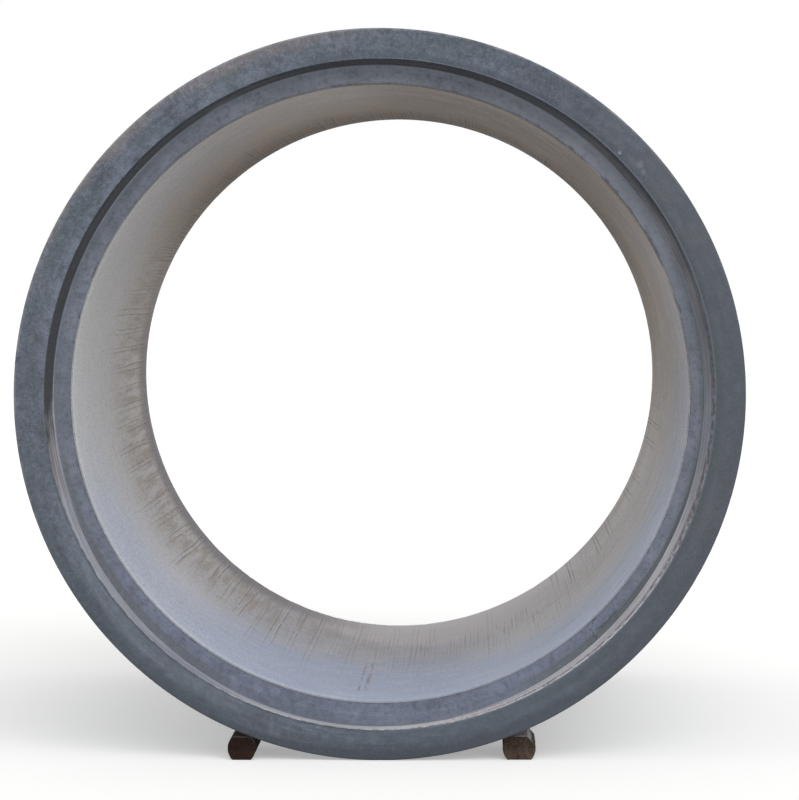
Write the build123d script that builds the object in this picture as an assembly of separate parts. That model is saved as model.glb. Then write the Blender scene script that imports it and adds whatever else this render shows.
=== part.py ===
from build123d import *
from math import sqrt
import os

# A reinforced concrete sewer pipe lies on level ground between two short timber chocks.
# Its groove end faces -Y and its tongue end faces +Y.
# Sizes are in millimetres and +Z is up.
# The origin is on the ground, below the middle of the pipe.

# Barrel
bore_diameter = 1828.8
wall_thickness = 160.6
laying_length = 2438.4

# Groove, the socket in the -Y end. From the bore outwards it has a flat shoulder,
# a bevel at the root and a wall that widens towards the mouth.
groove_depth = 115.0
shoulder_width = 41.6
root_bevel_width = 14.0
root_bevel_depth = 10.0
groove_taper = 14.0

# Tongue, the spigot on the +Y end. It follows the groove of the next pipe,
# with room all round for the sealant and a gap at its tip.
joint_clearance = 5.0
joint_end_gap = 7.0

# Edges of the casting. The two outer ones are rounded and the inner ones have a small chamfer.
outer_edge_radius = 6.0
mouth_edge_chamfer = 4.0
bore_edge_chamfer = 4.0
tongue_root_chamfer = 5.0

# Chocks, cut from timber with flat top and bottom and bulging sides
chock_length = 305.0
chock_thickness = 69.0
left_chock_width = 83.0
right_chock_width = 98.0
chock_side_bulge = 14.0
chock_edge_radius = 8.0
chock_seat_gap = 0.3
left_chock_setback = 0.0
right_chock_setback = 25.0

# Radii and stations that follow from the sizes above
bore_radius = bore_diameter / 2
outer_radius = bore_radius + wall_thickness
axis_height = outer_radius
tongue_length = groove_depth - joint_end_gap
overall_length = laying_length + tongue_length
groove_end = -overall_length / 2


def along_axis(distance):
    """Y of a point that lies this far behind the groove end's face."""
    return groove_end + distance


def corners_at(face, places):
    """The vertices of a flat face that lie nearest to the given places, one for each."""
    return [min(face.vertices(), key=lambda v: (Vector(v.X, v.Y) - Vector(*place)).length) for place in places]


def pipe_section():
    """Half section of the pipe: Y across the page and the radius up it."""
    root_depth = groove_depth - root_bevel_depth
    shoulder_radius = bore_radius + shoulder_width
    root_radius = shoulder_radius + root_bevel_width
    mouth_radius = root_radius + groove_taper

    tongue_straight = tongue_length - root_bevel_depth
    tongue_base_radius = mouth_radius - joint_clearance
    tongue_bevel_radius = tongue_base_radius - groove_taper * tongue_straight / root_depth
    tongue_tip_radius = tongue_bevel_radius - root_bevel_width

    rim_outer = (along_axis(0), outer_radius)
    back_outer = (along_axis(laying_length), outer_radius)
    tongue_base = (along_axis(laying_length), tongue_base_radius)
    tongue_bevel = (along_axis(laying_length + tongue_straight), tongue_bevel_radius)
    tongue_tip = (along_axis(overall_length), tongue_tip_radius)
    bore_far_edge = (along_axis(overall_length), bore_radius)
    bore_near_edge = (along_axis(groove_depth), bore_radius)
    shoulder_edge = (along_axis(groove_depth), shoulder_radius)
    groove_root = (along_axis(root_depth), root_radius)
    groove_mouth = (along_axis(0), mouth_radius)

    outline = Polyline(
        rim_outer, back_outer, tongue_base, tongue_bevel, tongue_tip,
        bore_far_edge, bore_near_edge, shoulder_edge, groove_root, groove_mouth,
        close=True,
    )
    section = make_face(outline)
    section = fillet(corners_at(section, [rim_outer, back_outer]), outer_edge_radius)
    section = chamfer(corners_at(section, [groove_mouth]), mouth_edge_chamfer)
    section = chamfer(corners_at(section, [bore_near_edge, bore_far_edge]), bore_edge_chamfer)
    return chamfer(corners_at(section, [tongue_base]), tongue_root_chamfer)


def make_pipe():
    """Turn the half section about the pipe's axis, which runs along Y at the axis height."""
    section_plane = Plane(origin=(0, 0, axis_height), x_dir=(0, 1, 0), z_dir=(1, 0, 0))
    pipe_axis = Axis((0, 0, axis_height), (0, 1, 0))
    return revolve(section_plane * pipe_section(), pipe_axis)


def side_radius():
    """Radius of a chock's bulging side, from its height and bulge."""
    half_thickness = chock_thickness / 2
    return (half_thickness**2 + chock_side_bulge**2) / (2 * chock_side_bulge)


def chock_centre(width):
    """How far from the pipe's axis the middle of a chock lies when its rounded edge meets the barrel."""
    half_thickness = chock_thickness / 2
    bulge_centre = width / 2 - side_radius()
    edge_across = side_radius() - chock_edge_radius
    edge_centre = bulge_centre + sqrt(edge_across**2 - (half_thickness - chock_edge_radius) ** 2)

    reach = outer_radius + chock_edge_radius + chock_seat_gap
    drop = axis_height - (chock_thickness - chock_edge_radius)
    return sqrt(reach**2 - drop**2) + edge_centre


def make_chock(width, side, setback):
    """Cut one chock and push it against the barrel, on the side given as -1 or +1."""
    half_flat = width / 2 - chock_side_bulge
    middle = chock_thickness / 2

    base = Line((-half_flat, 0), (half_flat, 0))
    right = ThreePointArc((half_flat, 0), (width / 2, middle), (half_flat, chock_thickness))
    top = Line((half_flat, chock_thickness), (-half_flat, chock_thickness))
    left = ThreePointArc((-half_flat, chock_thickness), (-width / 2, middle), (-half_flat, 0))
    end_grain = make_face([base, right, top, left])
    end_grain = fillet(end_grain.vertices(), chock_edge_radius)

    front = along_axis(setback)
    section_plane = Plane(origin=(side * chock_centre(width), front, 0), x_dir=(1, 0, 0), z_dir=(0, -1, 0))
    return extrude(section_plane * end_grain, -chock_length)


parts = {
    "pipe": make_pipe(),
    "left_chock": make_chock(left_chock_width, -1, left_chock_setback),
    "right_chock": make_chock(right_chock_width, +1, right_chock_setback),
}

os.makedirs("parts", exist_ok=True)
for name, solid in parts.items():
    export_step(solid, f"parts/{name}.step")
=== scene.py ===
"""A reinforced concrete sewer pipe with a groove end and a tongue end, held by two timber chocks.

Lengths are in metres. The pipe lies along Y with its groove end towards -Y, and the ground is at Z 0.
"""
import logging
import math
from collections.abc import Callable, Iterator
from contextlib import contextmanager
from dataclasses import dataclass
from enum import Enum

import bpy
import numpy as np
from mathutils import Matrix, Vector


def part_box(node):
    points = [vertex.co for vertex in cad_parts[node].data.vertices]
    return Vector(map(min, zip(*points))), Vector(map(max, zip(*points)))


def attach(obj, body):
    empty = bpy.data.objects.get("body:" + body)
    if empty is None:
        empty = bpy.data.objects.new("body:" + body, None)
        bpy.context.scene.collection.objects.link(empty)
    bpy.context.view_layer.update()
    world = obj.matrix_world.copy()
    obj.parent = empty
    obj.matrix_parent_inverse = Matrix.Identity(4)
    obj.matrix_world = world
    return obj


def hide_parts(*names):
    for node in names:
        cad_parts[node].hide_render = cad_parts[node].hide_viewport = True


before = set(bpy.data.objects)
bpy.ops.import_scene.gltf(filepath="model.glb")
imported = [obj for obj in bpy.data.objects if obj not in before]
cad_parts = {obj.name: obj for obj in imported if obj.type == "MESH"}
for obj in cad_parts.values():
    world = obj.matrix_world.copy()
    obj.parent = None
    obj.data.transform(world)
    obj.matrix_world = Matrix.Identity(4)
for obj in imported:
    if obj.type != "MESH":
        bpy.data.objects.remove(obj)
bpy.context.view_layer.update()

log = logging.getLogger("sewer_pipe")

Colour = tuple[float, float, float, float]
Triple = tuple[float, float, float]
Choice = Callable[[np.ndarray], np.ndarray]
# A mask, and the colour or its socket that shows where the mask is 1
Layer = tuple["Value", object]


def srgb(red: int, green: int, blue: int) -> Colour:
    """Turn a colour as seen on a screen into Blender's linear values.

    Args:
        red: First channel, 0 to 255.
        green: Second channel.
        blue: Third channel.

    Returns:
        The linear colour, opaque.
    """
    def linear(channel: int) -> float:
        """One channel in linear light."""
        share = channel / 255
        return share / 12.92 if share <= 0.04045 else ((share + 0.055) / 1.055) ** 2.4

    return linear(red), linear(green), linear(blue), 1.0


# Shader maths


@dataclass(frozen=True, eq=False)
class Value:
    """A number that varies over a surface, with arithmetic that adds Math nodes."""

    graph: "Graph"
    socket: bpy.types.NodeSocket

    def maths(self, operation: str, *operands: "Value | float") -> "Value":
        """Add a Math node with this operation and these inputs, and give its result."""
        node = self.graph.node("ShaderNodeMath", {"operation": operation}, dict(enumerate(operands)))
        return Value(self.graph, node.outputs[0])

    def __add__(self, other: "Value | float") -> "Value":
        """Sum."""
        return self.maths("ADD", self, other)

    def __radd__(self, other: float) -> "Value":
        """Sum with a plain number first."""
        return self.maths("ADD", other, self)

    def __sub__(self, other: "Value | float") -> "Value":
        """Difference."""
        return self.maths("SUBTRACT", self, other)

    def __rsub__(self, other: float) -> "Value":
        """Difference with a plain number first."""
        return self.maths("SUBTRACT", other, self)

    def __mul__(self, other: "Value | float") -> "Value":
        """Product."""
        return self.maths("MULTIPLY", self, other)

    def __truediv__(self, other: "Value | float") -> "Value":
        """Quotient."""
        return self.maths("DIVIDE", self, other)

    def __pow__(self, power: float) -> "Value":
        """Power."""
        return self.maths("POWER", self, power)

    def sine(self) -> "Value":
        """Sine of an angle in radians."""
        return self.maths("SINE", self)

    def size(self) -> "Value":
        """The number without its sign."""
        return self.maths("ABSOLUTE", self)

    def larger(self, other: "Value | float") -> "Value":
        """The larger of two numbers."""
        return self.maths("MAXIMUM", self, other)

    def band(self, low: float, high: float) -> "Value":
        """Go smoothly from 0 to 1.

        Args:
            low: Where it is 0.
            high: Where it is 1. It may be less than low.

        Returns:
            The number from 0 to 1.
        """
        smooth = self.graph.node("ShaderNodeMapRange", {"interpolation_type": "SMOOTHSTEP"}, {
            "Value": self, "From Min": low, "From Max": high,
        })
        return Value(self.graph, smooth.outputs["Result"])

    def near(self, centre: "Value | float", width: float) -> "Value":
        """A soft mask that is 1 where the number is at the centre and 0 from width away."""
        return (self - centre).size().band(width, width * 0.35)


class Graph:
    """The node tree of a material or of the world."""

    def __init__(self, owner: bpy.types.Material | bpy.types.World) -> None:
        """Start with an empty tree.

        Args:
            owner: The material or world.
        """
        owner.use_nodes = True
        self.owner = owner
        self.tree = owner.node_tree
        self.tree.nodes.clear()

    @classmethod
    def of_material(cls, name: str) -> "Graph":
        """Start a new material."""
        return cls(bpy.data.materials.new(name))

    def node(
        self,
        kind: str,
        settings: dict[str, object] | None = None,
        inputs: dict[str | int, object] | None = None,
    ) -> bpy.types.Node:
        """Add a node.

        Args:
            kind: The node's type.
            settings: Its properties, set first.
            inputs: Values or links of its sockets, by name or place.

        Returns:
            The new node.
        """
        made = self.tree.nodes.new(kind)
        for key, setting in (settings or {}).items():
            setattr(made, key, setting)
        for key, value in (inputs or {}).items():
            source = value.socket if isinstance(value, Value) else value
            if isinstance(source, bpy.types.NodeSocket):
                self.tree.links.new(source, made.inputs[key])
            else:
                made.inputs[key].default_value = source
        return made

    def layers(self, base: object, *layers: Layer) -> bpy.types.NodeSocket:
        """Lay colours over one another.

        Args:
            base: The lowest colour or its socket.
            layers: The others in order, each with the mask that says where it shows.

        Returns:
            The socket of the colour that shows in the end.
        """
        for mask, colour in layers:
            node = self.node("ShaderNodeMix", {"data_type": "RGBA"}, {0: mask, 6: base, 7: colour})
            base = node.outputs[2]
        return base

    def coordinates(
        self, shift: Triple = (0.0, 0.0, 0.0), stretch: Triple = (1.0, 1.0, 1.0)
    ) -> bpy.types.NodeSocket:
        """Read the object's coordinates.

        Args:
            shift: What is added to them.
            stretch: What they are multiplied by before that.

        Returns:
            The socket with the place.
        """
        point = self.node("ShaderNodeTexCoord").outputs["Object"]
        change = {"Vector": point, "Location": shift, "Scale": stretch}
        return self.node("ShaderNodeMapping", {"vector_type": "POINT"}, change).outputs[0]

    def vector(self, x: Value | float, y: Value | float, z: Value | float) -> bpy.types.NodeSocket:
        """Join three numbers into a vector."""
        return self.node("ShaderNodeCombineXYZ", inputs={0: x, 1: y, 2: z}).outputs[0]

    def parts(self, vector: bpy.types.NodeSocket) -> tuple[Value, ...]:
        """The three numbers of a vector."""
        apart = self.node("ShaderNodeSeparateXYZ", inputs={0: vector})
        return tuple(Value(self, apart.outputs[i]) for i in range(3))

    def noise(
        self, vector: object, scale: float, detail: float = 3.0, rough: float = 0.55, bend: float = 0.0
    ) -> Value:
        """Add smooth noise.

        Args:
            vector: The socket with the place.
            scale: How many features there are to a metre.
            detail: Octaves.
            rough: Weight of the finer octaves.
            bend: Distortion.

        Returns:
            A number from 0 to 1, mostly near 0.5.
        """
        node = self.node(
            "ShaderNodeTexNoise",
            {"noise_dimensions": "3D"},
            {"Vector": vector, "Scale": scale, "Detail": detail, "Roughness": rough, "Distortion": bend},
        )
        return Value(self, node.outputs[0])

    def pits(self, vector: object, scale: float, width: float, share: float) -> Value:
        """Add small round pits or specks.

        Args:
            vector: The socket with the place.
            scale: How many cells there are to a metre.
            width: A pit's radius as a share of its cell.
            share: The share of the cells that have one.

        Returns:
            A mask that is 1 in a pit.
        """
        node = self.node("ShaderNodeTexVoronoi", {"feature": "F1"}, {"Vector": vector, "Scale": scale})
        picked = self.node("ShaderNodeSeparateColor", inputs={0: node.outputs["Color"]})
        chosen = Value(self, picked.outputs[0]).band(share + 0.02, share)
        return Value(self, node.outputs["Distance"]).band(width, width * 0.5) * chosen

    def finish(
        self, colour: bpy.types.NodeSocket, roughness: Value, height: Value, specular: float = 0.4
    ) -> bpy.types.Material:
        """Wire the surface's shader.

        Args:
            colour: Socket of the base colour.
            roughness: How dull the surface is.
            height: Relief in metres.
            specular: Strength of its plain reflection.

        Returns:
            The finished material.
        """
        relief = self.node("ShaderNodeBump", inputs={"Strength": 1.0, "Distance": 1.0, "Height": height})
        shader = self.node("ShaderNodeBsdfPrincipled", inputs={
            "Base Color": colour,
            "Roughness": roughness,
            "Specular IOR Level": specular,
            "Normal": relief.outputs[0],
        })
        self.node("ShaderNodeOutputMaterial", inputs={"Surface": shader.outputs[0]})
        return self.owner


# Modelling tools


class Shape:
    """A mesh object that is shaped with the edit-mode tools."""

    def __init__(self, name: str) -> None:
        """Take the active object, just added.

        Args:
            name: The name it gets.
        """
        self.thing = bpy.context.object
        self.thing.name = name
        self.thing.data.name = name

    def places(self) -> np.ndarray:
        """Read the mesh.

        Returns:
            The vertices' places, one row each.
        """
        flat = np.empty(len(self.thing.data.vertices) * 3)
        self.thing.data.vertices.foreach_get("co", flat)
        return flat.reshape(-1, 3)

    @contextmanager
    def editing(self, where: Choice | None = None) -> Iterator[None]:
        """Open edit mode with a choice of vertices selected.

        Args:
            where: Takes the places and gives a mask of the vertices to select. All are, if it is left out.

        Returns:
            A context in which edit mode is open.
        """
        mesh = self.thing.data
        chosen = np.ones(len(mesh.vertices), bool) if where is None else where(self.places())
        for part in (mesh.edges, mesh.polygons):
            part.foreach_set("select", np.zeros(len(part), bool))
        mesh.vertices.foreach_set("select", chosen)
        bpy.ops.object.mode_set(mode="EDIT")
        bpy.ops.mesh.select_mode(type="VERT")
        yield
        bpy.ops.object.mode_set(mode="OBJECT")

    def settle(self) -> None:
        """Put the object at the origin, with its place in its mesh."""
        bpy.ops.object.transform_apply(location=True, rotation=True, scale=True)

    def cut(self, point: Vector | Triple, normal: Triple, away: bool = False) -> None:
        """Cut the mesh with a plane, and where away is set, take off and close what lies beyond it."""
        with self.editing():
            bpy.ops.mesh.bisect(plane_co=point, plane_no=normal, use_fill=away, clear_outer=away)

    def weigh(self, name: str, weights: np.ndarray) -> str:
        """Make a vertex group.

        Args:
            name: The group's name.
            weights: One weight a vertex.

        Returns:
            The group's name.
        """
        group = self.thing.vertex_groups.new(name=name)
        steps = np.round(np.clip(weights, 0, 1) * 10).astype(int)
        for step in range(1, 11):
            group.add(np.flatnonzero(steps == step).tolist(), step / 10, "REPLACE")
        return group.name

    def modify(self, kind: str, **settings: object) -> None:
        """Add a modifier and apply it.

        Args:
            kind: The modifier's type.
            settings: Its properties.
        """
        modifier = self.thing.modifiers.new(kind.lower(), kind)
        for key, setting in settings.items():
            setattr(modifier, key, setting)
        bpy.ops.object.modifier_apply(modifier=modifier.name)

    def wear(self, group: str, depth: float, grain: float, start: float, full: float) -> None:
        """Sink the surface here and there, as worn or chipped edges are.

        Args:
            group: The vertex group that may sink.
            depth: How deep the deepest places are.
            grain: Size of the places.
            start: Noise level where they start.
            full: Noise level where they are deepest.
        """
        texture = bpy.data.textures.new(group, "CLOUDS")
        texture.noise_scale = grain
        texture.noise_depth = 3
        texture.use_color_ramp = True
        ramp = texture.color_ramp.elements
        ramp[0].position, ramp[0].color = start, (0, 0, 0, 1)
        ramp[1].position, ramp[1].color = full, (1, 1, 1, 1)
        self.modify("DISPLACE", texture=texture, vertex_group=group, strength=-depth, mid_level=0.0)

    def smooth(self, degrees: float) -> None:
        """Shade smoothly across edges below this angle."""
        bpy.ops.object.shade_smooth_by_angle(angle=math.radians(degrees))


def start_fresh() -> None:
    """Deselect everything before a new primitive is added."""
    bpy.ops.object.select_all(action="DESELECT")


# The pipe's sizes


@dataclass(frozen=True)
class PipeSizes:
    """Radii and stations of the pipe, the same as in its solid."""

    axis_height: float = 1.075
    bore: float = 0.9144
    outer: float = 1.0747
    groove_end: float = -1.2732
    laying_length: float = 2.4384
    groove_depth: float = 0.115
    tongue_length: float = 0.108
    shoulder: float = 0.956
    root: float = 0.970
    mouth: float = 0.984
    bevel_depth: float = 0.010
    tongue_base: float = 0.979
    tongue_bevel: float = 0.96593
    tongue_tip: float = 0.95193

    def inward(self, distance: float) -> float:
        """Y of what lies this far behind the groove end's face."""
        return self.groove_end + distance

    @property
    def past_mouth(self) -> float:
        """A radius just outside the groove's mouth."""
        return self.mouth + 0.001

    @property
    def back(self) -> float:
        """Y of the barrel's back face, where the tongue starts."""
        return self.inward(self.laying_length)

    @property
    def tongue_end(self) -> float:
        """Y of the tongue's end face."""
        return self.back + self.tongue_length


SIZES = PipeSizes()


# Concrete finishes


class PipeFinish(Graph):
    """A finish of the pipe. It knows where a point lies along the axis, out from it and round it."""

    name: str

    def __init__(self) -> None:
        """Read the object's coordinates and centre them on the axis."""
        super().__init__(bpy.data.materials.new(self.name))
        self.point = self.coordinates(shift=(0.0, 0.0, -SIZES.axis_height))
        self.x, self.y, self.z = self.parts(self.point)
        self.radius = (self.x * self.x + self.z * self.z) ** 0.5
        self.cosine = self.x / self.radius
        self.sine = self.z / self.radius
        self.bearing = self.z.maths("ARCTAN2", self.z, self.x)

    def lean(self, degrees: float) -> Value:
        """1 on this bearing, 0 a quarter turn from it and -1 opposite. Bearing 0 is +X and 90 is up."""
        angle = math.radians(degrees)
        return self.cosine * math.cos(angle) + self.sine * math.sin(angle)

    def arc(self, middle: float, half: float, soft: float) -> Value:
        """A mask round a bearing, all in degrees, with soft ends."""
        outside, inside = math.radians(half + soft), math.radians(half - soft)
        return self.lean(middle).band(math.cos(outside), math.cos(inside))

    def spot(self, degrees: float, radius: float, size: float) -> Value:
        """Add a round mark on an end face.

        Args:
            degrees: Its bearing.
            radius: How far its middle lies from the axis.
            size: Its own radius.

        Returns:
            A mask that is 1 in the mark.
        """
        angle = math.radians(degrees)
        across, up = self.x - radius * math.cos(angle), self.z - radius * math.sin(angle)
        return ((across * across + up * up) ** 0.5).band(size, size * 0.4)

    def spread(self, scale: float, detail: float = 3.0, rough: float = 0.55, bend: float = 0.0) -> Value:
        """Noise with the same scale on all sides."""
        return self.noise(self.point, scale, detail, rough, bend)

    def drawn(
        self, across: float, along: float, out: float, detail: float = 3.0, rough: float = 0.55
    ) -> Value:
        """Add noise that is drawn out along the axis, round it or away from it.

        Args:
            across: Scale round the pipe.
            along: Scale along its axis.
            out: Scale out from the axis.
            detail: Octaves.
            rough: Weight of the finer octaves.

        Returns:
            A number from 0 to 1, mostly near 0.5.
        """
        drift = self.y * along + self.radius * out
        return self.noise(self.vector(self.cosine * across, drift, self.sine * across), 1.0, detail, rough)

    def behind(self, station: float) -> Value:
        """How far a point lies behind this place on the axis."""
        return self.y - station


class RimFinish(PipeFinish):
    """The groove end's face: cool mottled grey, floated, lighter and rosy at the upper left."""

    name: str = "floated_end_concrete"
    body: Colour = srgb(94, 101, 112)
    pale: Colour = srgb(126, 135, 152)
    deep: Colour = srgb(66, 71, 79)
    rosy: Colour = srgb(124, 118, 120)
    worn: Colour = srgb(158, 155, 160)

    def __init__(self) -> None:
        """Add the noises that its layers share."""
        super().__init__()
        self.cloud = self.spread(3.5, 5, 0.6)
        self.blotch = self.spread(15, 6, 0.68, 0.5)
        self.fleck = self.spread(70, 4, 0.7)

    def material(self) -> bpy.types.Material:
        """Build the finish.

        Returns:
            The material.
        """
        blotch, fleck = self.blotch, self.fleck
        grain = self.spread(240, 3, 0.75)
        trowel = self.drawn(5, 0, 50, 4, 0.6)
        patch = self.spread(32, 3, 0.5)
        hue = self.spread(9, 3, 0.6)
        holes = self.pits(self.point, 75, 0.2, 0.12)
        rough = 1 - self.arc(315, 105, 30) * 0.6
        streaked = self.arc(242, 32, 20) * 0.22
        specks = self.spot(45.2, 0.999, 0.007) * 0.4 + self.spot(41.5, 1.019, 0.014) * 0.14
        specks = specks + self.spot(40.2, 1.012, 0.011) * 0.12
        colour = self.layers(
            self.body,
            (self.cloud.band(0.66, 0.34) * 0.5, self.deep),
            (blotch.band(0.51, 0.69) * (rough * 0.3), self.pale),
            (blotch.band(0.49, 0.31) * (rough * 0.36), self.deep),
            (trowel.band(0.48, 0.66) * (streaked + 0.25), self.pale),
            (trowel.band(0.48, 0.32) * (streaked + 0.28), self.deep),
            (fleck.band(0.51, 0.64) * (rough * 0.36), self.pale),
            (fleck.band(0.50, 0.37) * (rough * 0.5), self.deep),
            (patch.band(0.52, 0.66) * 0.22, self.pale),
            (patch.band(0.48, 0.34) * 0.3, self.deep),
            (hue.band(0.50, 0.62) * 0.35, srgb(86, 99, 104)),
            *self.zones(),
            *self.upper_left(),
            (grain.band(0.5, 0.68) * (rough * 0.4), self.pale),
            (grain.band(0.5, 0.32) * (rough * 0.5), self.deep),
            (specks, srgb(166, 170, 180)),
            (holes * (rough * 0.3), srgb(48, 50, 55)),
        )
        height = blotch * 0.0012 + fleck * 0.0008 + grain * 0.0007 + trowel * 0.0003 - holes * 0.0009
        return self.finish(colour, grain * 0.12 + 0.8, height * rough)

    def zones(self) -> list[Layer]:
        """Tint the face's quarters, and paint shade along the mouth's edge at the lower left.

        Returns:
            The tints, lowest first.
        """
        cloud, blotch, radius = self.cloud, self.blotch, self.radius
        drift = radius + (cloud - 0.5) * 0.08
        low_side = self.arc(280, 80, 20) * 0.75 + self.arc(290, 32, 18) * 0.2
        warm = self.arc(8, 42, 18) * cloud.band(0.5, 0.66) * blotch.band(0.4, 0.6)
        lit_inner = radius.band(1.020, 0.992) * self.arc(144, 34, 12) * blotch.band(0.36, 0.6)
        lip = radius.band(0.9905, 0.9865) * (self.arc(50, 45, 15) + self.arc(315, 45, 15))
        # Painted shade: a dark line along the mouth's edge at the lower left.
        mouth_shade = (radius + (blotch - 0.5) * 0.008).band(0.9905, 0.9875) * self.arc(232, 38, 10)
        return [
            (low_side * drift.band(1.015, 1.062), srgb(66, 72, 79)),
            (self.arc(312, 42, 15) * drift.band(1.05, 1.01) * 0.55, srgb(76, 86, 92)),
            (self.arc(325, 38, 15) * drift.band(1.045, 1.07) * 0.4, srgb(88, 91, 104)),
            (self.arc(5, 42, 33) * 0.6 + self.arc(181, 12, 14) * 0.3, srgb(80, 83, 89)),
            (warm * 0.35, srgb(98, 95, 96)),
            (radius.band(1.012, 0.988) * self.arc(55, 90, 25) * 0.45, self.deep),
            (lit_inner * 0.5, self.pale),
            (self.arc(224, 22, 10) * radius.band(1.045, 1.0) * 0.35, srgb(112, 118, 128)),
            (lip * 0.4, self.pale),
            (mouth_shade * 0.6, srgb(60, 66, 72)),
        ]

    def upper_left(self) -> list[Layer]:
        """Weather the upper left: a rosy outer side and two scuffed places, and paint a highlight along the
        outer edge.

        Returns:
            The layers, lowest first.
        """
        ragged = self.radius + (self.blotch - 0.5) * 0.07 + (self.cloud - 0.5) * 0.10
        rosy = self.arc(126, 26, 16) * ragged.band(1.030, 1.078)
        scrape = self.drawn(230, 0, 4, 3, 0.6)
        scuffs = self.spot(123.5, 1.052, 0.045) + self.spot(102.0, 1.056, 0.05) * 0.7
        # Painted highlight along the outer edge at the upper left, in the worn colour.
        edge = self.radius.band(1.066, 1.073) * self.blotch.band(0.36, 0.6) * self.arc(120, 75, 20)
        return [
            (rosy * 0.8, self.rosy),
            (rosy * self.fleck.band(0.5, 0.62) * 0.3, self.worn),
            (scuffs * scrape.band(0.53, 0.66) * 0.25, self.worn),
            (scuffs * scrape.band(0.47, 0.37) * 0.45, self.deep),
            (edge * 0.7, self.worn),
        ]


class GrooveFinish(PipeFinish):
    """The groove's wall: chalky with rust-brown smears below, lightened at the lower right by painted light,
    and dark above with painted shade.
    """

    name: str = "groove_wall_concrete"
    chalk: Colour = srgb(202, 201, 209)
    lit: Colour = srgb(228, 228, 232)
    dark_grey_and_shade: Colour = srgb(62, 65, 70)
    painted_top_shade: Colour = srgb(34, 38, 43)
    rust: Colour = srgb(122, 90, 72)
    plum: Colour = srgb(116, 98, 98)

    def __init__(self) -> None:
        """Add the noises that its layers share."""
        super().__init__()
        self.cloud = self.spread(9, 4, 0.6)
        self.blotch = self.spread(48, 4, 0.65)
        self.grain = self.spread(300, 3, 0.7)
        self.lines = self.drawn(5, 170, 0, 3, 0.6)
        self.bands = self.drawn(4, 46, 0, 2, 0.6)
        self.inward = self.behind(SIZES.groove_end)

    def material(self) -> bpy.types.Material:
        """Build the finish.

        Returns:
            The material.
        """
        above = self.above()
        deepest = 1 - (self.arc(240, 46, 8) + self.arc(356, 22, 10)) * 0.9
        colour = self.layers(
            self.chalk,
            # Painted light: the pale base is kept light at the lower right, which the key light leaves in
            # shade; this arc tones it down at the lower left.
            (self.arc(226, 42, 14) * 0.9, srgb(170, 174, 184)),
            (self.arc(251, 20, 12) * 0.45, srgb(126, 132, 150)),
            (self.arc(189, 4, 7) * 0.5, self.plum),
            (self.arc(357, 18, 12) * 0.6, srgb(136, 144, 158)),
            # Painted light at the lower right.
            (self.arc(322, 14, 8) * 0.25, self.lit),
            # Painted shade over the upper part of the wall, which faces down into the recess.
            (above, self.dark_grey_and_shade),
            *self.overhead(),
            *self.underfoot(above),
            *self.smears(),
            *self.lip(),
            # Painted highlight: a light line along the deep end of the wall, greyer in the upper part.
            (
                self.inward.band(0.090, 0.098) * deepest * 0.5,
                self.layers(self.lit, (above, srgb(120, 124, 132))),
            ),
            (self.grain.band(0.5, 0.72) * 0.2, self.lit),
            (self.grain.band(0.48, 0.28) * 0.25, self.dark_grey_and_shade),
        )
        height = self.blotch * 0.0012 + self.grain * 0.0008 + self.lines * 0.0005
        return self.finish(colour, self.grain * 0.1 + 0.82, height)

    def above(self) -> Value:
        """Find the upper part that takes painted shade, which ends sharply at the left and fades at the
        right.

        Returns:
            A mask that is 1 in that part.
        """
        cloud, lines = self.cloud - 0.5, self.lines - 0.5
        left = self.lean(150) + cloud * 0.18 + lines * 0.08 - (self.inward - 0.05) * 0.5
        right = self.lean(84) + cloud * 0.5 + lines * 0.6 + self.inward.band(0.09, 0.0) * 0.26
        return left.band(0.762, 0.845).larger(right.band(-0.38, 1.02))

    def overhead(self) -> list[Layer]:
        """Darken the top with painted shade all over, with a darker line at the mouth and paler bands behind
        it.

        Returns:
            The layers, lowest first.
        """
        overhead = self.arc(88, 62, 16)
        bands = self.inward.near(0.052, 0.022) * overhead * self.bands.band(0.4, 0.6)
        return [
            # Painted shade, darkest at the top.
            (self.arc(88, 20, 14) * 0.85, self.painted_top_shade),
            (self.inward.band(0.036, 0.018) * overhead * 0.6, srgb(34, 40, 48)),
            (bands * 0.35, srgb(100, 98, 96)),
        ]

    def underfoot(self, above: Value) -> list[Layer]:
        """Stain the lower part in bands, with a pale strip along the bottom.

        Args:
            above: The upper part with painted shade, which is left as it is.

        Returns:
            The layers, lowest first.
        """
        below = 1 - above
        floor = self.arc(268, 20, 9)
        return [
            (self.bands.band(0.5, 0.66) * below * 0.3, self.plum),
            (self.bands.band(0.48, 0.34) * below * 0.3, self.lit),
            (self.arc(287, 12, 8) * self.inward.band(0.09, 0.07) * 0.45, self.lit),
            (floor * self.inward.band(0.085, 0.060) * 0.5, self.lit),
            (floor * self.inward.band(0.070, 0.088) * 0.7, srgb(98, 104, 118)),
            (self.blotch.band(0.54, 0.7) * 0.22 * below, self.plum),
            (self.lines.band(0.5, 0.68) * 0.2, self.dark_grey_and_shade),
        ]

    def smears(self) -> list[Layer]:
        """Add torn, ruddy and rusty places at the lower right.

        Returns:
            The layers, lowest first.
        """
        blotch = self.blotch
        torn = self.arc(352, 22, 8) * self.inward.band(0.050, 0.015) * blotch.band(0.44, 0.54)
        ruddy = self.arc(352, 22, 10) * self.lines.band(0.5, 0.62) * blotch.band(0.42, 0.58)
        smears = self.arc(318, 30, 8) * self.inward.near(0.024, 0.020) * blotch.band(0.43, 0.54)
        spotted = self.arc(290, 11, 5) * self.spread(90, 3).band(0.54, 0.62)
        return [
            (torn * 0.6, self.dark_grey_and_shade),
            (ruddy * 0.28, srgb(128, 114, 108)),
            (smears * 0.7, self.plum),
            (spotted * 0.55, self.rust),
        ]

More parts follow.
